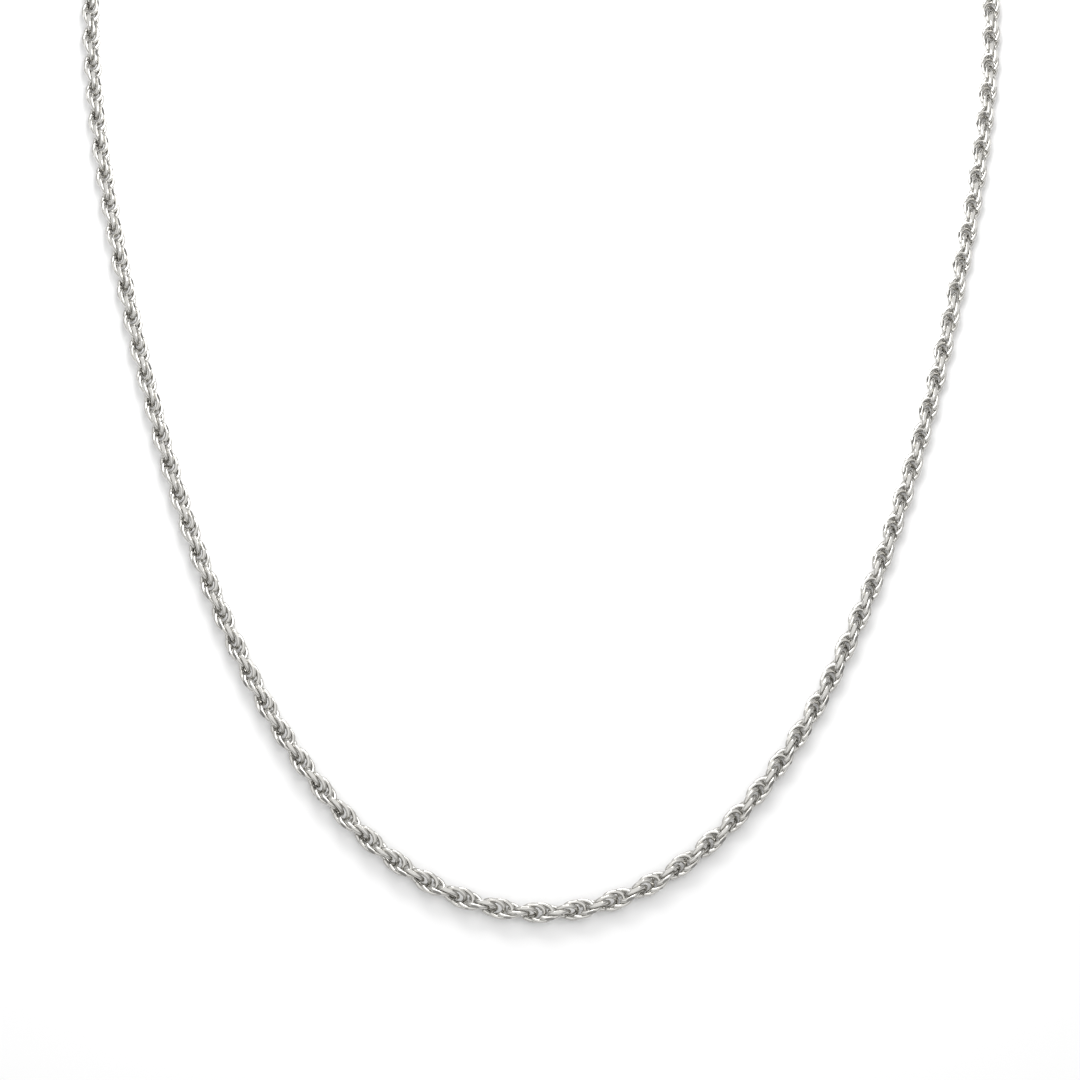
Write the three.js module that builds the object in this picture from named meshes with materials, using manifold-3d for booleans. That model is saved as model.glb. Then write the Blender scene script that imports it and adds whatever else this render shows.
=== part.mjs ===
// Twisted rope chain necklace with a lobster clasp, lying flat and unfastened.
// Millimetres, +Z up. The necklace lies on z = 0 with its front (the lowest point
// of the U when worn) towards -Y and its two free ends towards +Y.

import * as THREE from 'three';
import { mergeVertices } from 'three/addons/utils/BufferGeometryUtils.js';
import Module from 'manifold-3d';

const wasm = await Module();
wasm.setup();

// ---------------------------------------------------------------- driving dimensions

const ropeWidth = 2.5; // across the outside of the twisted links
const ropeWaist = 1.96; // across the hollow side of the twist
const halfTwist = 4.0; // length of rope in which the twist turns half way round
const segmentPitch = 10.0; // length of rope carried by one rigid segment
const segmentsPerArm = 21; // on each side of the front segment
const gap = 0.3; // clearance between neighbouring pieces

const frontRadius = 24.5; // tightest bend of the centreline, at the front
const turnInStart = 105; // length from the front where the arms begin to turn inwards
const turnInRamp = 37; // length over which the turn builds up at its first rate
const turnInRadius = 147; // bend radius gained at the end of that ramp
const turnInLimit = 0.0135; // strongest inward curvature, 1/mm

const axisHeight = ropeWidth / 2; // the rope rests on z = 0

const loopHole = 1.0; // end loop: radius of its hole
const loopOuter = 1.5;
const loopThickness = 0.5;
const loopCentre = 2.3; // from the rope's tip to the middle of the loop

const jumpRadius = 2.3; // jump ring: middle of its wire
const jumpWire = 0.38; // radius of its wire
const jumpReach = 1.69; // from the jump ring's middle to the loop it threads, seen from above

const claspThickness = 2.5;
const tailThickness = 0.5; // of the flat eye that the jump ring threads
const tailHole = 1.05;
const claspEdge = 0.35; // width of its bevelled edge
const leverThickness = 1.1;
const leverHub = 1.1; // radius of the lever round its pin
const leverReach = 5.0; // from the pin to the lever's end
const tipArc = 5.3; // from the pin to the end face of the hook
const slotHeight = 1.5;
const slotStart = 2.1;
const slotEnd = 5.95; // in the eye, past the lever's hub
const pinRadius = 0.4;
const pinHole = 0.56;
const hub = new THREE.Vector2(4.0, 0.6); // lever pin, from the middle of the tail hole

const springRadius = 1.5; // middle of the leaf spring curled round the lever's hub
const springThickness = 0.24;
const springWidth = 0.6;

const catchRadius = 2.45; // catch ring: middle of its wire
const catchWire = 0.3;
const catchGap = 0.12; // from the jump ring's middle to the catch ring's wire

// ---------------------------------------------------------------- materials

const metal = (name, color, roughness) => {
  const material = new THREE.MeshStandardMaterial({ color, roughness, metalness: 1 });
  material.name = name;
  return material;
};
const ropeMetal = metal('rope_silver', 0xdcdcda, 0.18);
const fittingMetal = metal('fitting_silver', 0xe2e2e0, 0.12);
const springMetal = metal('spring_steel', 0x9c9fa3, 0.35);

const necklace = new THREE.Group();
necklace.name = 'necklace';

const addMesh = (parent, name, geometry, material) => {
  const mesh = new THREE.Mesh(geometry, material);
  mesh.name = name;
  parent.add(mesh);
  return mesh;
};

// ---------------------------------------------------------------- centreline

// Curvature of the centreline at a length s from the front. The front hangs in the
// catenary of a slack chain; from turnInStart the arms curl towards each other.
const curvature = (s) => {
  const length = Math.abs(s);
  const catenary = frontRadius / (frontRadius ** 2 + length ** 2);
  const ramp = Math.max(0, length - turnInStart) / turnInRamp / turnInRadius;
  return catenary + Math.min(ramp, turnInLimit);
};

// One arm walked in short steps from the front: [x, y, heading] at every step.
const walkStep = 0.25;
const walkLength = segmentPitch * (segmentsPerArm + 1);
const walk = [[0, 0, 0]];
for (let s = 0; s < walkLength; s += walkStep) {
  const [x, y, heading] = walk.at(-1);
  const middle = heading + (curvature(s) * walkStep) / 2;
  walk.push([
    x + Math.cos(middle) * walkStep,
    y + Math.sin(middle) * walkStep,
    heading + curvature(s + walkStep / 2) * walkStep,
  ]);
}

// Place on the whole centreline: s runs from the left end (negative) over the front
// to the right end, and heading is the direction of growing s.
const placeAt = (s) => {
  const steps = Math.abs(s) / walkStep;
  const index = Math.min(Math.floor(steps), walk.length - 2);
  const [a, b] = [walk[index], walk[index + 1]];
  const mix = (k) => a[k] + (b[k] - a[k]) * (steps - index);
  const side = s < 0 ? -1 : 1;
  return { x: side * mix(0), y: mix(1), heading: side * mix(2) };
};

// ---------------------------------------------------------------- rope

// A closed skin over rings of points, with a flat fan at each end.
const loft = (rings) => {
  const count = rings[0].length;
  const positions = rings.flat().flatMap((p) => [p.x, p.y, p.z]);
  const index = [];
  for (let ring = 0; ring < rings.length - 1; ring++) {
    for (let i = 0; i < count; i++) {
      const a = ring * count + i;
      const b = ring * count + ((i + 1) % count);
      index.push(a, b, a + count, b, b + count, a + count);
    }
  }
  const last = (rings.length - 1) * count;
  for (let i = 1; i < count - 1; i++) {
    index.push(0, i + 1, i, last, last + i, last + i + 1);
  }
  const geometry = new THREE.BufferGeometry();
  geometry.setAttribute('position', new THREE.Float32BufferAttribute(positions, 3));
  geometry.setIndex(index);
  return geometry.toNonIndexed();
};

// A segment of rope: two lobes twisting left-handed, with tips coned for the bend.
const sides = 8;
const ringsPerSegment = 13;
const tipRadius = 0.5;
const tipLength = 0.45;
const meanRadius = (ropeWidth + ropeWaist) / 4;
const lobe = (ropeWidth - ropeWaist) / 4;
const segmentBody = segmentPitch - gap;

const ringAt = (s, scale) => {
  const { x, y, heading } = placeAt(s);
  const twist = (-Math.PI * s) / halfTwist;
  return Array.from({ length: sides }, (_, i) => {
    const angle = (2 * Math.PI * i) / sides;
    const radius = scale ?? meanRadius + lobe * Math.cos(2 * (angle - twist));
    const across = radius * Math.cos(angle);
    return new THREE.Vector3(
      x - Math.sin(heading) * across,
      y + Math.cos(heading) * across,
      axisHeight + radius * Math.sin(angle),
    );
  });
};

const ropeSegment = (middle) => {
  const start = middle - segmentBody / 2;
  const step = (segmentBody - 2 * tipLength) / (ringsPerSegment - 3);
  const rings = [ringAt(start, tipRadius)];
  for (let i = 0; i < ringsPerSegment - 2; i++) {
    rings.push(ringAt(start + tipLength + i * step));
  }
  rings.push(ringAt(start + segmentBody, tipRadius));
  return loft(rings);
};

addMesh(necklace, 'rope_front', ropeSegment(0), ropeMetal);
for (let i = 1; i <= segmentsPerArm; i++) {
  const number = String(i).padStart(2, '0');
  addMesh(necklace, `rope_left_${number}`, ropeSegment(-i * segmentPitch), ropeMetal);
  addMesh(necklace, `rope_right_${number}`, ropeSegment(i * segmentPitch), ropeMetal);
}

// ---------------------------------------------------------------- end fittings

// A group whose origin is the tip of the rope at one end, x pointing off the end,
// z up, level with the rope's axis.
const endGroup = (side) => {
  const { x, y, heading } = placeAt(side * (segmentPitch * (segmentsPerArm + 0.5) - gap / 2));
  const group = new THREE.Group();
  group.position.set(x, y, axisHeight);
  group.rotation.z = side > 0 ? heading : heading + Math.PI;
  necklace.add(group);
  return group;
};

// A flat plate of a shape, centred on the group's z = 0.
const plate = (shape, thickness, edge = 0, curveSegments = 6) => {
  const geometry = new THREE.ExtrudeGeometry(shape, {
    depth: thickness - 2 * edge,
    bevelEnabled: edge > 0,
    bevelThickness: edge,
    bevelSize: edge,
    bevelOffset: -edge,
    bevelSegments: 1,
    curveSegments,
  });
  return geometry.translate(0, 0, edge - thickness / 2);
};

const polar = (centre, radius, degrees) => {
  const angle = THREE.MathUtils.degToRad(degrees);
  return new THREE.Vector2(Math.cos(angle), Math.sin(angle)).multiplyScalar(radius).add(centre);
};

// A hole runs the other way round from its outline: turn is -360 in an anticlockwise one.
const circleHole = (centre, radius, count, turn = -360) => {
  const rim = Array.from({ length: count }, (_, i) => polar(centre, radius, (turn * i) / count));
  return new THREE.Path(rim);
};

// The loop soldered on the last link: a flat eye on a short stem.
const endLoop = () => {
  const stem = 0.5; // half width of the stem
  const root = Math.asin(stem / loopOuter);
  const shape = new THREE.Shape();
  shape.moveTo(gap, stem);
  shape.lineTo(gap, -stem);
  shape.absarc(loopCentre, 0, loopOuter, Math.PI + root, Math.PI - root, false);
  shape.holes.push(circleHole(new THREE.Vector2(loopCentre, 0), loopHole, 16));
  return plate(shape, loopThickness, 0, 14);
};

const jumpCentre = loopCentre + jumpReach;
const jumpHeight = jumpRadius + jumpWire - axisHeight; // stands on z = 0

const jumpRing = () =>
  new THREE.TorusGeometry(jumpRadius, jumpWire, 8, 20)
    .rotateX(Math.PI / 2)
    .translate(jumpCentre, 0, jumpHeight);

const ends = { left: endGroup(-1), right: endGroup(1) };
for (const [side, group] of Object.entries(ends)) {
  addMesh(group, `${side}_end_loop`, endLoop(), fittingMetal);
  addMesh(group, `${side}_jump_ring`, jumpRing(), fittingMetal);
}

// The ring that the clasp closes on, lying flat in the right jump ring.
const catchCentre = jumpCentre + catchGap + catchWire + catchRadius;
const catchRing = new THREE.TorusGeometry(catchRadius, catchWire, 8, 24);
addMesh(ends.right, 'catch_ring', catchRing.translate(catchCentre, 0, 0), fittingMetal);

// ---------------------------------------------------------------- lobster clasp

const solid = (geometry) => {
  const bare = geometry.clone();
  bare.deleteAttribute('normal');
  bare.deleteAttribute('uv');
  const merged = mergeVertices(bare, 1e-4);
  const vertProperties = new Float32Array(merged.attributes.position.array);
  const triVerts = new Uint32Array(merged.index.array);
  return new wasm.Manifold(new wasm.Mesh({ numProp: 3, vertProperties, triVerts }));
};

const geometryOf = (manifold) => {
  const mesh = manifold.getMesh();
  const geometry = new THREE.BufferGeometry();
  const positions = new THREE.Float32BufferAttribute(mesh.vertProperties, 3);
  geometry.setAttribute('position', positions);
  geometry.setIndex(Array.from(mesh.triVerts));
  return geometry.toNonIndexed();
};

const block = (x0, x1, y0, y1, z0, z1) =>
  new THREE.BoxGeometry(x1 - x0, y1 - y0, z1 - z0)
    .translate((x0 + x1) / 2, (y0 + y1) / 2, (z0 + z1) / 2);

const post = (centre, radius, height, count) =>
  new THREE.CylinderGeometry(radius, radius, height, count)
    .rotateX(Math.PI / 2)
    .translate(centre.x, centre.y, 0);

// Coordinates from here on have the middle of the clasp's tail hole as their origin.
const claspGroup = new THREE.Group();
claspGroup.position.x = jumpCentre + jumpReach;
ends.left.add(claspGroup);

const claspBody = () => {
  const outline = [
    [1.45, -0.8], [3.0, -1.95], [5.4, -2.9], [7.9, -3.05], [10.3, -2.15], [11.5, 0],
    [10.3, 2.15], [7.9, 3.05], [5.4, 2.9], [3.0, 1.95], [1.45, 0.8],
  ].map(([x, y]) => new THREE.Vector2(x, y));
  const shape = new THREE.Shape();
  shape.moveTo(outline[0].x, outline[0].y);
  shape.splineThru(outline.slice(1));
  const eye = new THREE.Path();
  eye.absellipse(7.6, 0, 2.5, 1.75, 0, 2 * Math.PI, true);
  shape.holes.push(eye);

  const tail = new THREE.Shape();
  tail.absarc(0, 0, loopOuter, 0, 2 * Math.PI, false);
  tail.holes.push(circleHole(new THREE.Vector2(0, 0), tailHole, 16));
  const neck = block(1.25, 2.2, -0.6, 0.6, -tailThickness / 2, tailThickness / 2);

  const mouth = new THREE.Shape();
  mouth.moveTo(5.2, 0.9);
  mouth.lineTo(...polar(hub, tipArc, 3.2).toArray());
  mouth.absarc(hub.x, hub.y, tipArc, 0.06, 0.95, false);
  mouth.lineTo(5.2, 4.9);

  const half = slotHeight / 2;
  return geometryOf(
    solid(plate(shape, claspThickness, claspEdge, 3))
      .add(solid(plate(tail, tailThickness, 0, 12)))
      .add(solid(neck))
      .subtract(solid(plate(mouth, 2 * claspThickness)))
      .subtract(solid(block(slotStart, slotEnd, -5, 5, -half, half)))
      .subtract(solid(post(hub, pinHole, 2 * claspThickness, 12))),
  );
};

// The gate and thumb tab in one piece, swinging about the pin.
const claspLever = () => {
  const shape = new THREE.Shape();
  shape.moveTo(...polar(hub, leverHub, 95).toArray());
  shape.quadraticCurveTo(5.2, 2.75, 7.0, 2.9);
  shape.lineTo(...polar(hub, leverReach, 26).toArray());
  shape.lineTo(...polar(hub, leverReach, 14).toArray());
  shape.quadraticCurveTo(6.4, 1.85, ...polar(hub, leverHub, 5).toArray());
  shape.quadraticCurveTo(5.0, -1.2, 4.9, -3.3);
  shape.absarc(4.35, -3.75, 0.7, 0.5, -Math.PI - 0.4, true);
  shape.quadraticCurveTo(3.6, -1.4, ...polar(hub, leverHub, 215).toArray());
  const [back, top] = [210, 100].map(THREE.MathUtils.degToRad);
  shape.absarc(hub.x, hub.y, leverHub, back, top, true);
  shape.holes.push(circleHole(hub, pinHole, 12, 360));
  return plate(shape, leverThickness, 0, 6);
};

// A leaf spring curled round the back of the lever's hub.
const claspSpring = () => {
  const [from, to] = [118, 212].map(THREE.MathUtils.degToRad);
  const shape = new THREE.Shape();
  shape.absarc(hub.x, hub.y, springRadius + springThickness / 2, from, to, false);
  shape.absarc(hub.x, hub.y, springRadius - springThickness / 2, to, from, true);
  return plate(shape, springWidth, 0, 5);
};

addMesh(claspGroup, 'clasp_body', claspBody(), fittingMetal);
addMesh(claspGroup, 'clasp_lever', claspLever(), fittingMetal);
addMesh(claspGroup, 'clasp_pin', post(hub, pinRadius, claspThickness, 12), fittingMetal);
addMesh(claspGroup, 'clasp_spring', claspSpring(), springMetal);

// The part's origin is the middle of its own outline, seen from above, on z = 0.
const middle = new THREE.Box3().setFromObject(necklace, true).getCenter(new THREE.Vector3());
necklace.position.set(-middle.x, -middle.y, 0);

export default necklace;
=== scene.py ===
"""Polished rope chain necklace, link by link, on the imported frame."""
import math

import bmesh
import bpy
import numpy as np
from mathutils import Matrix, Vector


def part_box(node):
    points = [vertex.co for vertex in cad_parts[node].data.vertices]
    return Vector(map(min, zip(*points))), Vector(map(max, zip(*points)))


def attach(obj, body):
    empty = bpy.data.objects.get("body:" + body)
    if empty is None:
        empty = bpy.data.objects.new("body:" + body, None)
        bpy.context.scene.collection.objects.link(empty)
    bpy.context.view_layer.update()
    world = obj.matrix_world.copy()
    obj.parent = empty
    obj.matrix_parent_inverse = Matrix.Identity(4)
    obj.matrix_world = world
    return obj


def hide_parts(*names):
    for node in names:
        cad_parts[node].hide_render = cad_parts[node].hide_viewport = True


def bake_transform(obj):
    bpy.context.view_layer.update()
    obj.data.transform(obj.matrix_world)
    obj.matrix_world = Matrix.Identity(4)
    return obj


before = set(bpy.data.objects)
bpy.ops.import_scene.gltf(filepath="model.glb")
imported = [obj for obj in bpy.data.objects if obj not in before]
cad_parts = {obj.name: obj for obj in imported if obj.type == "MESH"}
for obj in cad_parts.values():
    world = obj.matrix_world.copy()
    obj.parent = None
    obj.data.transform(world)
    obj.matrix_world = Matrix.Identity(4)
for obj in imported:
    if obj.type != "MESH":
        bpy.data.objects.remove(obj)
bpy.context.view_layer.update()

MM = 0.001

# ---------------------------------------------------------------- sizes, millimetres

ROPE_WIDTH = 2.5
HALF_TWIST = 4.1  # length in which the twist turns half way round
SLACK_TURNS = 0.38  # half twists missing from each side of the front, where it is looser
SLACK_REACH = 18.0  # length over which they are missing
SEGMENT = 10.0  # rope carried by one CAD body
SEGMENTS_PER_ARM = 21
FRONT_RADIUS = 24.5
TURN_IN_START = 105
TURN_IN_RAMP = 37
TURN_IN_RADIUS = 147
TURN_IN_LIMIT = 0.0135  # 1/mm

LINKS_PER_HALF_TWIST = 4.8
WIRE = 0.53  # wire diameter of a link
STRETCH = 1.35  # length of a link against its width
WARP = 0.05  # how far a link is sprung out of its plane, as a part of its radius
LINK_GAP = math.radians(38)  # half of the opening in each C-shaped link
CUT_APOTHEM = 1.15  # the diamond cutter's flats lie this far from the rope's axis
CUT_SIDES = 8

AXIS_HEIGHT = ROPE_WIDTH / 2
ROPE_END = SEGMENT * (SEGMENTS_PER_ARM + 0.5) - 0.15

# The fittings lie in line off each end of the rope, from its tip.
LOOP_CENTRE = 2.3
LOOP_OUTER = 1.5
LOOP_HOLE = 1.0
LOOP_THICKNESS = 0.5
JUMP_RADIUS = 2.3
JUMP_WIRE = 0.38  # radius of the wire
JUMP_REACH = 1.69  # from the jump ring's middle to the middle of the eye it threads
JUMP_CENTRE = LOOP_CENTRE + JUMP_REACH
JUMP_SPLIT = math.radians(1.2)  # half of the hairline where the ring's ends meet
JUMP_SPLIT_AT = math.radians(62)
JUMP_CHAMFER = 0.05
CATCH_RADIUS = 2.45
CATCH_WIRE = 0.3
CATCH_GAP = 0.12  # between the catch ring's wire and the jump ring's middle
CATCH_CENTRE = JUMP_CENTRE + CATCH_GAP + CATCH_WIRE + CATCH_RADIUS
CATCH_SOLDER_AT = math.radians(200)
CATCH_SOLDER_REACH = 0.06  # radians
CATCH_SOLDER_SWELL = 0.07

# The clasp, from the middle of its tail eye.
CLASP_CENTRE = JUMP_CENTRE + JUMP_REACH
CLASP_OUTLINE = [
    (1.45, -0.8), (3.0, -1.95), (5.4, -2.9), (7.9, -3.05), (10.3, -2.15), (11.5, 0.0),
    (10.3, 2.15), (7.9, 3.05), (5.4, 2.9), (3.0, 1.95), (1.45, 0.8),
]
CLASP_THICKNESS = 2.5
TAIL_HOLE = 1.05
EYE_CENTRE = (7.6, 0.0)
EYE_HALF = (2.5, 1.75)
MOUTH_BACK = 5.2  # how near the tail the mouth begins
HUB = np.array([4.0, 0.6])
HUB_RADIUS = 1.1
LEVER_REACH = 5.0
LEVER_THICKNESS = 1.1
TAB_CENTRE = (4.35, -3.75)
TAB_RADIUS = 0.7
HOOK_REACH = 5.3  # from the hub to the end face of the hook
SLOT = ((2.1, -5.0, -0.75), (5.95, 5.0, 0.75))
PIN_RADIUS = 0.4
PIN_HOLE = 0.56
SPRING_RADIUS = 1.5
SPRING_THICKNESS = 0.24
SPRING_WIDTH = 0.6
SPRING_HELD, SPRING_FREE = 212, 118  # degrees round the hub

SHARP_EDGE = math.radians(35)  # edges sharper than this are shaded as edges
FINE = 0.05  # spacing of the points on the clasp's contours
FLOOR_LEVEL = -0.02
FLOOR_HALF = 3000

# ---------------------------------------------------------------- centreline


def curvature(length):
    """Curvature of the rope's centreline at a length from the front, in 1/mm."""
    catenary = FRONT_RADIUS / (FRONT_RADIUS**2 + length**2)
    ramp = max(0.0, length - TURN_IN_START) / TURN_IN_RAMP / TURN_IN_RADIUS
    return catenary + min(ramp, TURN_IN_LIMIT)


def walk_arm(step=0.25):
    """[x, y, heading] every step along one arm, from the front."""
    points = [(0.0, 0.0, 0.0)]
    for i in range(round(SEGMENT * (SEGMENTS_PER_ARM + 1) / step)):
        x, y, heading = points[-1]
        middle = heading + curvature(i * step) * step / 2
        turned = heading + curvature((i + 0.5) * step) * step
        points.append((x + math.cos(middle) * step, y + math.sin(middle) * step, turned))
    return np.arange(len(points)) * step, np.array(points)


ARM_LENGTHS, ARM_POINTS = walk_arm()
FRONT_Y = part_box("rope_front")[0][1] / MM + ROPE_WIDTH / 2
UP = np.array([0.0, 0.0, 1.0])


def place(s):
    """(point on the axis, direction, left of the direction) at length s, which is
    negative on the left arm. Directions follow growing s."""
    side = -1 if s < 0 else 1
    x, y, heading = (np.interp(abs(s), ARM_LENGTHS, ARM_POINTS[:, k]) for k in range(3))
    heading *= side
    along = np.array([math.cos(heading), math.sin(heading), 0.0])
    return np.array([side * x, y + FRONT_Y, AXIS_HEIGHT]), along, np.cross(UP, along)


# Half twists from the front to every length, and the other way round.
TWIST_LENGTHS = np.concatenate([-ARM_LENGTHS[:0:-1], ARM_LENGTHS])
HALF_TWISTS = TWIST_LENGTHS / HALF_TWIST - SLACK_TURNS * np.tanh(TWIST_LENGTHS / SLACK_REACH)


# ---------------------------------------------------------------- meshes


def full_turn(count):
    """Angles evenly spaced round a circle."""
    return np.arange(count) * 2 * math.pi / count


def new_object(name, vertices, faces, smooth=True):
    """An object from vertices in millimetres. smooth is one flag, or one for each face."""
    mesh = bpy.data.meshes.new(name)
    mesh.from_pydata((np.asarray(vertices) * MM).tolist(), [], faces)
    flags = smooth if isinstance(smooth, list) else [smooth] * len(mesh.polygons)
    mesh.polygons.foreach_set("use_smooth", flags)
    obj = bpy.data.objects.new(name, mesh)
    bpy.context.scene.collection.objects.link(obj)
    return obj


def tube_faces(rings, sides):
    """Quads between rings of vertices, and a flat face at each end."""
    faces = []
    for r in range(rings - 1):
        for i in range(sides):
            a, b = r * sides + i, r * sides + (i + 1) % sides
            faces.append((a, b, b + sides, a + sides))
    faces.append(tuple(reversed(range(sides))))
    faces.append(tuple(range((rings - 1) * sides, rings * sides)))
    return faces


def sweep_tube(path, radii, sides):
    """(vertices, faces) of a round tube along a path, closed at both ends."""
    path = np.asarray(path)
    tangents = np.gradient(path, axis=0)
    tangents /= np.linalg.norm(tangents, axis=1)[:, None]
    across = np.cross(tangents[0], UP)
    if np.linalg.norm(across) < 0.1:
        across = np.cross(tangents[0], [1.0, 0.0, 0.0])
    vertices = []
    for point, tangent, radius in zip(path, tangents, radii):
        across = across - tangent * (across @ tangent)
        across /= np.linalg.norm(across)
        other = np.cross(tangent, across)
        for turn in full_turn(sides):
            vertices.append(point + radius * (math.cos(turn) * across + math.sin(turn) * other))
    return vertices, tube_faces(len(path), sides)


# ---------------------------------------------------------------- one link

LINK_RADIUS = (ROPE_WIDTH - WIRE) / 2
LINK_LENGTH = 2 * STRETCH * LINK_RADIUS + WIRE
RINGS = 30
SIDES = 10
CHAMFER = 0.06  # the cut ends of a link are rounded by this much


def link_template():
    """A C-shaped link in its own x, y plane, slightly sprung out of it: x runs along
    the rope, y across it, and the opening faces -x. Returns its vertices and faces."""
    end = math.pi - LINK_GAP
    inset = CHAMFER / LINK_RADIUS
    angles = np.concatenate([[-end], np.linspace(-end + inset, end - inset, RINGS), [end]])
    path = LINK_RADIUS * np.stack(
        [STRETCH * np.cos(angles), np.sin(angles), -WARP * np.sin(2 * angles)], axis=1
    )
    radii = np.full(len(angles), WIRE / 2)
    radii[[0, -1]] -= CHAMFER
    return sweep_tube(path, radii, SIDES)


LINK_VERTICES, LINK_FACES = link_template()


def cut_link(twist):
    """The link with the cutter's flats that reach it. twist is the angle of its plane
    about the rope's axis. Returns (vertices, faces, which faces are smooth)."""
    bm = bmesh.new()
    made = [bm.verts.new(v) for v in LINK_VERTICES]
    for face in LINK_FACES:
        bm.faces.new([made[i] for i in face]).smooth = True
    for k in range(CUT_SIDES):
        lean = 2 * math.pi * k / CUT_SIDES - twist
        if LINK_RADIUS * abs(math.cos(lean)) + WIRE / 2 <= CUT_APOTHEM:
            continue
        normal = Vector((0, math.cos(lean), math.sin(lean)))
        parts = bm.verts[:] + bm.edges[:] + bm.faces[:]
        cut = bmesh.ops.bisect_plane(
            bm, geom=parts, plane_co=normal * CUT_APOTHEM, plane_no=normal, clear_outer=True
        )["geom_cut"]
        rim = [e for e in cut if isinstance(e, bmesh.types.BMEdge)]
        for face in bmesh.ops.holes_fill(bm, edges=rim, sides=0)["faces"]:
            face.smooth = False
    bmesh.ops.recalc_face_normals(bm, faces=bm.faces[:])
    bm.verts.index_update()
    vertices = np.array([v.co[:] for v in bm.verts])
    faces = [[v.index for v in f.verts] for f in bm.faces]
    smooth = [f.smooth for f in bm.faces]
    bm.free()
    return vertices, faces, smooth


def rope_piece(name, start, end):
    """The links whose middles lie between two lengths along the rope."""
    vertices, faces, smooth = [], [], []
    first, last = (
        math.ceil(np.interp(s, TWIST_LENGTHS, HALF_TWISTS) * LINKS_PER_HALF_TWIST)
        for s in (start, end)
    )
    for k in range(first, last):
        half_twists = k / LINKS_PER_HALF_TWIST
        twist = -math.pi * half_twists
        middle, along, left = place(np.interp(half_twists, HALF_TWISTS, TWIST_LENGTHS))
        across = math.cos(twist) * left + math.sin(twist) * UP
        points, link_faces, link_smooth = cut_link(twist)
        axes = np.array([along, across, np.cross(along, across)])
        base = len(vertices)
        vertices.extend(middle + points @ axes)
        faces.extend([base + i for i in face] for face in link_faces)
        smooth.extend(link_smooth)
    return new_object(name, vertices, faces, smooth)


# ---------------------------------------------------------------- materials


PATCH = 6.0  # size of the patches where the metal is a little lighter or darker
PATCH_CHANGE = 0.06


def metal(name, color, roughness, grain, uneven):
    """Polished metal. grain is the size of its polishing marks in millimetres, and uneven
    how deep they are against that size."""
    material = bpy.data.materials.new(name)
    material.use_nodes = True
    nodes, links = material.node_tree.nodes, material.node_tree.links
    shader = nodes["Principled BSDF"]
    shader.inputs["Metallic"].default_value = 1.0
    where = nodes.new("ShaderNodeTexCoord")

    marks = nodes.new("ShaderNodeTexNoise")
    marks.inputs["Scale"].default_value = 1 / (grain * MM)
    marks.inputs["Detail"].default_value = 4.0
    links.new(where.outputs["Object"], marks.inputs["Vector"])

    gloss = nodes.new("ShaderNodeMapRange")
    gloss.inputs["To Min"].default_value = roughness * 0.4
    gloss.inputs["To Max"].default_value = roughness * 1.6
    links.new(marks.outputs["Fac"], gloss.inputs["Value"])
    links.new(gloss.outputs["Result"], shader.inputs["Roughness"])

    bump = nodes.new("ShaderNodeBump")
    bump.inputs["Strength"].default_value = 1.0
    bump.inputs["Distance"].default_value = grain * MM * uneven
    links.new(marks.outputs["Fac"], bump.inputs["Height"])
    links.new(bump.outputs["Normal"], shader.inputs["Normal"])

    patches = nodes.new("ShaderNodeTexNoise")
    patches.inputs["Scale"].default_value = 1 / (PATCH * MM)
    links.new(where.outputs["Object"], patches.inputs["Vector"])
    tint = nodes.new("ShaderNodeMix")
    tint.data_type = "RGBA"
    tint.inputs["A"].default_value = (*((1 - PATCH_CHANGE) * c for c in color), 1)
    tint.inputs["B"].default_value = (*((1 + PATCH_CHANGE) * c for c in color), 1)
    links.new(patches.outputs["Fac"], tint.inputs["Factor"])
    links.new(tint.outputs["Result"], shader.inputs["Base Color"])
    return material


ROPE_SILVER = metal("rope silver", (0.57, 0.56, 0.535), 0.09, 0.4, 0.01)
FITTING_SILVER = metal("fitting silver", (0.58, 0.57, 0.545), 0.12, 0.25, 0.012)
SPRING_STEEL = metal("spring steel", (0.42, 0.42, 0.43), 0.28, 0.12, 0.03)


def finish(obj, material):
    obj.data.materials.clear()
    obj.data.materials.append(material)


# ---------------------------------------------------------------- rope


def body_name(index):
    """The CAD body that carries a segment: 0 is the front, and the left arm is negative."""
    if index == 0:
        return "rope_front"
    return f"rope_{'left' if index < 0 else 'right'}_{abs(index):02d}"


for side, arm in ((-1, "left"), (1, "right")):
    for i in range(1, SEGMENTS_PER_ARM + 1):
        near, far = side * (i - 1) * SEGMENT, side * i * SEGMENT
        piece = rope_piece(f"links_{arm}_{i:02d}", min(near, far), max(near, far))
        finish(piece, ROPE_SILVER)
        bodies = body_name(side * (i - 1)), body_name(side * i)
        place(near)[0] * MM
        place(far)[0] * MM
        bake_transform(piece)
        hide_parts(*bodies)
    reach = side * SEGMENTS_PER_ARM * SEGMENT, side * (ROPE_END - LINK_LENGTH / 2)
    tip = rope_piece(f"links_{arm}_end", min(reach), max(reach))
    finish(tip, ROPE_SILVER)
    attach(tip, body_name(side * SEGMENTS_PER_ARM))


# ---------------------------------------------------------------- fittings


def off_the_end(side):
    """(origin, axes) of the frame at a rope's tip: x goes on off the end, z is up."""
    tip, along, _ = place(side * ROPE_END)
    off = along * side
    return tip, np.array([off, np.cross(UP, off), UP])


def laid(points, side, centre):
    """Points round a place `centre` off the rope's tip, in the scene's frame."""
    origin, axes = off_the_end(side)
    return origin + (np.asarray(points) + [centre, 0, 0]) @ axes


def crisp(obj):
    """Smooth shading that keeps edges sharper than SHARP_EDGE."""
    obj.data.shade_smooth()
    obj.data.set_sharp_from_angle(angle=SHARP_EDGE)


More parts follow.
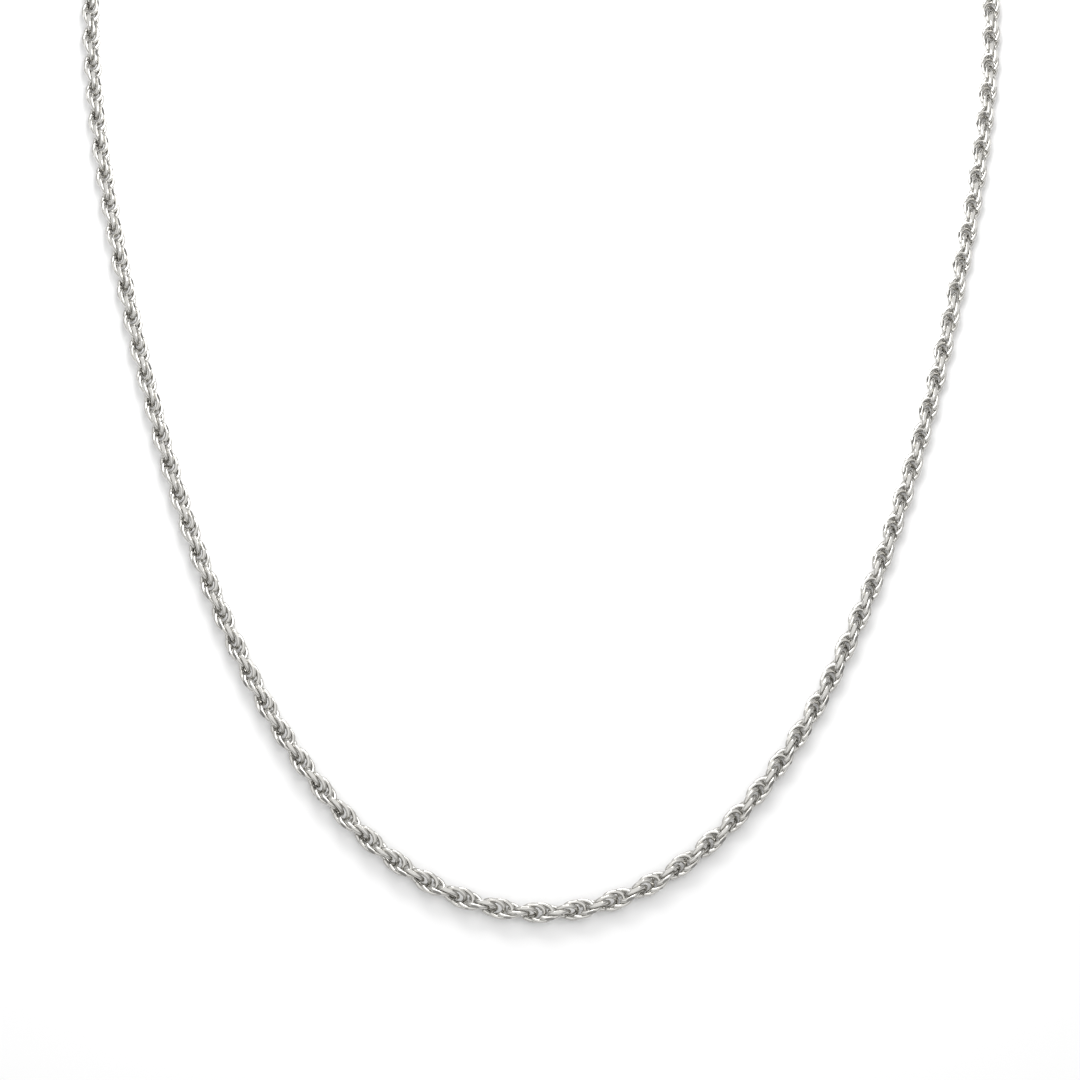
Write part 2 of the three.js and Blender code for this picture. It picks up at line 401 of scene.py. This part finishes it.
def fitting(name, node, parts, side, centre, material=None, slot="fitting_silver"):
    """A fitting of (vertices, faces) parts that stands for a CAD node."""
    vertices, faces = [], []
    for points, part_faces in parts:
        base = len(vertices)
        vertices.extend(laid(points, side, centre))
        faces.extend([base + i for i in face] for face in part_faces)
    obj = new_object(name, vertices, faces)
    finish(obj, material or FITTING_SILVER)
    crisp(obj)
    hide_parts(node)
    return obj


def turned(profile, count, swell=None):
    """A closed ring round the z axis. profile is its section as (radius, height) points,
    anticlockwise; swell gives a scale for the section at each step round the ring."""
    profile = np.asarray(profile)
    middle = profile.mean(axis=0)
    vertices, faces, sides = [], [], len(profile)
    for k, turn in enumerate(full_turn(count)):
        scale = swell[k] if swell is not None else 1.0
        for radius, height in middle + (profile - middle) * scale:
            vertices.append((radius * math.cos(turn), radius * math.sin(turn), height))
        for i in range(sides):
            j, after = (i + 1) % sides, (k + 1) % count
            faces.append((k * sides + j, after * sides + j, after * sides + i, k * sides + i))
    return np.array(vertices), faces


def rounded_section(inner, outer, thickness, count=24, power=0.45):
    """Section of a washer with rounded edges; a smaller power makes them squarer."""
    turn = full_turn(count)
    wide = np.sign(np.cos(turn)) * np.abs(np.cos(turn)) ** power
    high = np.sign(np.sin(turn)) * np.abs(np.sin(turn)) ** power
    middle, half = (inner + outer) / 2, (outer - inner) / 2
    return np.stack([middle + half * wide, thickness / 2 * high], axis=1)


def loft(sections, sides=24):
    """A closed body along x. sections are (x, half width, half height)."""
    vertices = [
        (x, wide * math.cos(t), high * math.sin(t))
        for x, wide, high in sections
        for t in full_turn(sides)
    ]
    return vertices, tube_faces(len(sections), sides)


def washer(hole):
    """A flat eye lying across the z axis."""
    return turned(rounded_section(hole, LOOP_OUTER, LOOP_THICKNESS), 64)


def end_loop():
    """The eye, and the stem that a bead of solder holds in the rope's last links."""
    points, faces = washer(LOOP_HOLE)
    bead_and_stem = loft([
        (-1.8, 0.2, 0.2), (-1.6, 0.55, 0.55), (-1.2, 0.82, 0.82), (-0.7, 0.92, 0.92),
        (-0.2, 0.88, 0.86), (0.15, 0.74, 0.66), (0.42, 0.56, 0.42), (0.75, 0.48, 0.27),
        (1.15, 0.5, 0.21),
    ])
    return [(points + [LOOP_CENTRE, 0, 0], faces), bead_and_stem]


def jump_ring():
    """An upright ring of wire that stands on the table, its ends closed on each other."""
    turn = JUMP_SPLIT_AT + np.linspace(JUMP_SPLIT, 2 * math.pi - JUMP_SPLIT, 97)
    path = np.stack([np.cos(turn), 0 * turn, np.sin(turn)], axis=1) * JUMP_RADIUS
    path[:, 2] += JUMP_RADIUS + JUMP_WIRE - AXIS_HEIGHT
    radii = np.full(len(turn), JUMP_WIRE)
    radii[[0, -1]] -= JUMP_CHAMFER
    return sweep_tube(path, radii, 20)


def catch_ring():
    """A ring lying flat, its wire slightly swollen where it is soldered."""
    turn = full_turn(20)
    section = [CATCH_RADIUS, 0] + CATCH_WIRE * np.stack([np.cos(turn), np.sin(turn)], axis=1)
    apart = (full_turn(96) - CATCH_SOLDER_AT) / CATCH_SOLDER_REACH
    return turned(section, 96, 1 + CATCH_SOLDER_SWELL * np.exp(-apart**2))


for side, arm in ((-1, "left"), (1, "right")):
    loop = fitting(f"{arm}_end_loop_metal", f"{arm}_end_loop", end_loop(), side, 0)
    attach(loop, body_name(side * SEGMENTS_PER_ARM))
    ring = fitting(f"{arm}_jump_ring_metal", f"{arm}_jump_ring", [jump_ring()], side, JUMP_CENTRE)
    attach(ring, f"{arm}_jump_ring")
catch = fitting("catch_ring_metal", "catch_ring", [catch_ring()], 1, CATCH_CENTRE)
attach(catch, "catch_ring")

# ---------------------------------------------------------------- lobster clasp


def polar(radius, degrees, centre=HUB):
    angle = np.radians(degrees)
    return np.asarray(centre) + radius * np.stack([np.cos(angle), np.sin(angle)], axis=-1)


def arc(radius, start, end, centre=HUB, count=24):
    return polar(radius, np.linspace(start, end, count), centre)


def quadratic(a, b, c, count=16):
    t = np.linspace(0, 1, count)[:, None]
    return (1 - t) ** 2 * np.asarray(a) + 2 * t * (1 - t) * np.asarray(b) + t**2 * np.asarray(c)


def through(points, count=10):
    """A smooth open curve through points."""
    p = np.array([points[0], *points, points[-1]], dtype=float)
    t = np.linspace(0, 1, count, endpoint=False)[:, None]
    runs = []
    for a, b, c, d in zip(p, p[1:], p[2:], p[3:]):
        bend_in, bend_out = (c - a) / 2, (d - b) / 2
        runs.append(b + bend_in * t + (3 * (c - b) - 2 * bend_in - bend_out) * t**2
                    + (2 * (b - c) + bend_in + bend_out) * t**3)
    return np.concatenate([*runs, p[-1:]])


def even(contour, spacing=0.1):
    """A closed contour with its points evenly spaced."""
    closed = np.vstack([contour, contour[:1]])
    lengths = np.concatenate([[0], np.cumsum(np.linalg.norm(np.diff(closed, axis=0), axis=1))])
    at = np.linspace(0, lengths[-1], max(8, round(lengths[-1] / spacing)), endpoint=False)
    return np.stack([np.interp(at, lengths, closed[:, k]) for k in range(2)], axis=1)


def soften(contour, passes):
    """Rounds a contour's corners."""
    for _ in range(passes):
        contour = (np.roll(contour, 1, axis=0) + 2 * contour + np.roll(contour, -1, axis=0)) / 4
    return contour


def inside(points, contour):
    """Which points lie inside a closed contour."""
    x, y = points[:, :1], points[:, 1:]
    a, b = contour, np.roll(contour, -1, axis=0)
    rise = np.where(a[:, 1] == b[:, 1], 1.0, b[:, 1] - a[:, 1])
    crosses = (a[:, 1] > y) != (b[:, 1] > y)
    at = a[:, 0] + (y - a[:, 1]) / rise * (b[:, 0] - a[:, 0])
    return (crosses & (x < at)).sum(axis=1) % 2 == 1


def one_run(points, keep):
    """The kept points in order, beginning after the ones left out."""
    first = next(i for i in range(len(points)) if keep[i] and not keep[i - 1])
    order = np.roll(np.arange(len(points)), -first)
    return points[order[keep[order]]]


def joined(a, b):
    """Outline of two overlapping contours, both anticlockwise."""
    return np.concatenate([one_run(a, ~inside(a, b)), one_run(b, ~inside(b, a))])


def notched(a, b):
    """Outline of contour a with b, which crosses its edge, taken out of it."""
    cut = b[::-1]
    return np.concatenate([one_run(a, ~inside(a, b)), one_run(cut, inside(cut, a))])


def drawn_in(contour, inset):
    """The contour moved inwards everywhere. A corner too tight for that is cut across."""
    if inset == 0:
        return contour
    across = np.roll(contour, -1, axis=0) - np.roll(contour, 1, axis=0)
    across /= np.linalg.norm(across, axis=1)[:, None]
    moved = contour - inset * np.stack([across[:, 1], -across[:, 0]], axis=1)
    gaps = np.linalg.norm(moved[:, None] - contour[None], axis=2).min(axis=1)
    sound = gaps > 0.985 * inset
    index = np.arange(len(contour))
    return np.stack(
        [np.interp(index, index[sound], moved[sound, k], period=len(index)) for k in range(2)],
        axis=1,
    )


def pebble(contour, thickness, ease_in, ease_up, steps=6):
    """A plate whose edges are rounded off: ease_in across the face, ease_up in height."""
    turn = np.linspace(0, math.pi / 2, steps)
    up = [(ease_in * (1 - math.cos(t)), thickness / 2 - ease_up * (1 - math.sin(t))) for t in turn]
    rings = [(inset, -z) for inset, z in reversed(up)] + up  # from the underside to the top
    vertices = [(x, y, z) for inset, z in rings for x, y in drawn_in(contour, inset)]
    return vertices, tube_faces(len(rings), len(contour))


def carve(obj, points, faces):
    """Cuts a closed shape, given in the clasp's own frame, out of a piece of the clasp."""
    tool = new_object("tool", laid(points, -1, CLASP_CENTRE), faces)
    cut = obj.modifiers.new("cut", "BOOLEAN")
    cut.operation, cut.solver, cut.object = "DIFFERENCE", "EXACT", tool
    bpy.context.view_layer.update()
    graph = bpy.context.evaluated_depsgraph_get()
    mesh = bpy.data.meshes.new_from_object(obj.evaluated_get(graph))
    obj.modifiers.clear()
    obj.data = mesh
    bpy.data.objects.remove(tool)
    crisp(obj)


def post(sections, sides):
    """A round post on the hub. sections are (height, radius), from the bottom."""
    points = [
        (HUB[0] + radius * math.cos(t), HUB[1] + radius * math.sin(t), height)
        for height, radius in sections
        for t in full_turn(sides)
    ]
    return points, tube_faces(len(sections), sides)


def box_between(low, high):
    (x0, y0, z0), (x1, y1, z1) = low, high
    corners = [(x0, y0), (x1, y0), (x1, y1), (x0, y1)]
    return [(x, y, z) for z in (z0, z1) for x, y in corners], tube_faces(2, 4)


def hook_contour():
    """The clasp's outline with its eye and the mouth into it taken out."""
    turn = full_turn(96)
    eye = EYE_CENTRE + EYE_HALF * np.stack([np.cos(turn), np.sin(turn)], axis=1)
    mouth = np.concatenate([[(MOUTH_BACK, 0.3)], arc(HOOK_REACH, 3.3, 54.4), [(MOUTH_BACK, 4.9)]])
    opening = joined(even(eye, FINE), even(mouth, FINE))
    return soften(even(notched(even(through(CLASP_OUTLINE), FINE), opening)), 8)


def lever_contour():
    """The gate reaches from the hub to the hook; the thumb tab stands out opposite."""
    gate_end = [polar(LEVER_REACH, degrees) for degrees in (26, 20, 14)]
    tab = arc(TAB_RADIUS, 28.6, -202.9, centre=TAB_CENTRE)
    contour = np.concatenate([
        quadratic(polar(HUB_RADIUS, 95), (5.2, 2.75), (7.0, 2.9)),
        gate_end,
        quadratic(gate_end[-1], (6.4, 1.85), polar(HUB_RADIUS, 5))[1:],
        quadratic(polar(HUB_RADIUS, 5), (5.0, -1.2), (4.9, -3.3))[1:],
        tab,
        quadratic(tab[-1], (3.6, -1.4), polar(HUB_RADIUS, 215))[1:],
        arc(HUB_RADIUS, 210, 100),
    ])
    return soften(even(contour[::-1]), 2)


def leaf_contour():
    """The leaf spring curls round the back of the hub; its end leans on the lever."""
    half = SPRING_THICKNESS / 2
    outside = arc(SPRING_RADIUS + half, SPRING_FREE, SPRING_HELD)
    return even(np.concatenate([outside, arc(SPRING_RADIUS - half, SPRING_HELD, SPRING_FREE)]), FINE)


def rivet():
    """Flush below, where the clasp lies on the table, and domed above."""
    half = CLASP_THICKNESS / 2
    return post([
        (-half, 0.5), (0.06 - half, 0.555), (0.3 - half, 0.555), (0.4 - half, PIN_RADIUS),
        (half - 0.2, PIN_RADIUS), (half - 0.1, 0.6), (half + 0.03, 0.64), (half + 0.1, 0.52),
        (half + 0.15, 0.34), (half + 0.17, 0.12),
    ], 32)


def clasp_piece(name, node, parts, **finish_as):
    return fitting(name, node, parts, -1, CLASP_CENTRE, **finish_as)


pin_hole = post([(-3, PIN_HOLE), (3, PIN_HOLE)], 40)
hook = clasp_piece(
    "clasp_body_metal", "clasp_body", [pebble(hook_contour(), CLASP_THICKNESS, 0.48, 0.75, 8)]
)
carve(hook, *box_between(*SLOT))
carve(hook, *pin_hole)
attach(hook, "clasp")

neck = loft([(1.2, 0.42, 0.2), (1.5, 0.55, 0.26), (1.8, 0.62, 0.4), (2.05, 0.6, 0.5)])
tail = clasp_piece("clasp_tail_metal", "clasp_body", [washer(TAIL_HOLE), neck])
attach(tail, "clasp")

lever = clasp_piece(
    "clasp_lever_metal", "clasp_lever", [pebble(lever_contour(), LEVER_THICKNESS, 0.2, 0.24, 5)]
)
carve(lever, *pin_hole)
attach(lever, "clasp_lever")

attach(clasp_piece("clasp_pin_metal", "clasp_pin", [rivet()]), "clasp")

spring = clasp_piece(
    "clasp_spring_metal", "clasp_spring", [pebble(leaf_contour(), SPRING_WIDTH, 0.04, 0.04, 3)],
    material=SPRING_STEEL, slot="spring_steel",
)
held, free = (
    laid([*polar(SPRING_RADIUS, degrees), 0], -1, CLASP_CENTRE) * MM
    for degrees in (SPRING_HELD, SPRING_FREE)
)
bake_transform(spring)

# ---------------------------------------------------------------- stage, light, camera

world = bpy.data.worlds.new("studio")
bpy.context.scene.world = world
world.use_nodes = True
nodes, links = world.node_tree.nodes, world.node_tree.links
direction = nodes.new("ShaderNodeTexCoord")
height = nodes.new("ShaderNodeSeparateXYZ")
walls = nodes.new("ShaderNodeValToRGB")
links.new(direction.outputs["Generated"], height.inputs[0])
links.new(height.outputs["Z"], walls.inputs["Fac"])
links.new(walls.outputs["Color"], nodes["Background"].inputs["Color"])
# Brightness by direction: a level of 0.5 is the horizon, and 1 is straight up.
ramp = walls.color_ramp
ramp.elements[0].color = (0.2, 0.2, 0.2, 1)
ramp.elements[1].color = (1, 1, 1, 1)
for level, grey in ((0.5, 0.55), (0.62, 0.85)):
    ramp.elements.new(level).color = (grey, grey, grey, 1)
nodes["Background"].inputs["Strength"].default_value = 1.27

corners = ((-1, -1), (1, -1), (1, 1), (-1, 1))
floor = new_object(
    "floor", [(x * FLOOR_HALF, y * FLOOR_HALF, FLOOR_LEVEL) for x, y in corners], [(0, 1, 2, 3)], False
)
paper = bpy.data.materials.new("paper")
paper.use_nodes = True
matt = paper.node_tree.nodes["Principled BSDF"]
matt.inputs["Base Color"].default_value = (0.9, 0.9, 0.9, 1)
matt.inputs["Roughness"].default_value = 1.0
matt.inputs["Specular IOR Level"].default_value = 0.0
floor.data.materials.append(paper)


def softbox(name, location, size, power, target):
    """A rectangular light; location, size and target in millimetres."""
    light = bpy.data.lights.new(name, "AREA")
    light.shape = "RECTANGLE"
    light.size, light.size_y = (side * MM for side in size)
    light.energy = power
    obj = bpy.data.objects.new(name, light)
    obj.location = Vector(location) * MM
    obj.rotation_euler = (Vector(target) - Vector(location)).to_track_quat("-Z", "Y").to_euler()
    obj.visible_camera = False
    bpy.context.scene.collection.objects.link(obj)


softbox("key", location=(0, 35, 75), size=(80, 130), power=0.15, target=(0, 35, 0))

CAMERA_SIDE = -0.14
CAMERA_HEIGHT = 288
CAMERA_TILT = math.radians(20)  # from straight down, towards +Y
CAMERA_BACK = 59.05  # how far in front of the rope's lowest point the camera stands
cam_data = bpy.data.cameras.new("camera")
cam_data.sensor_width = 36
cam_data.lens = 84.5
camera = bpy.data.objects.new("camera", cam_data)
camera.location = (CAMERA_SIDE * MM, (FRONT_Y - CAMERA_BACK) * MM, CAMERA_HEIGHT * MM)
camera.rotation_euler = (CAMERA_TILT, 0, 0)
bpy.context.scene.collection.objects.link(camera)
bpy.context.scene.camera = camera

bpy.context.scene.view_settings.view_transform = "Standard"
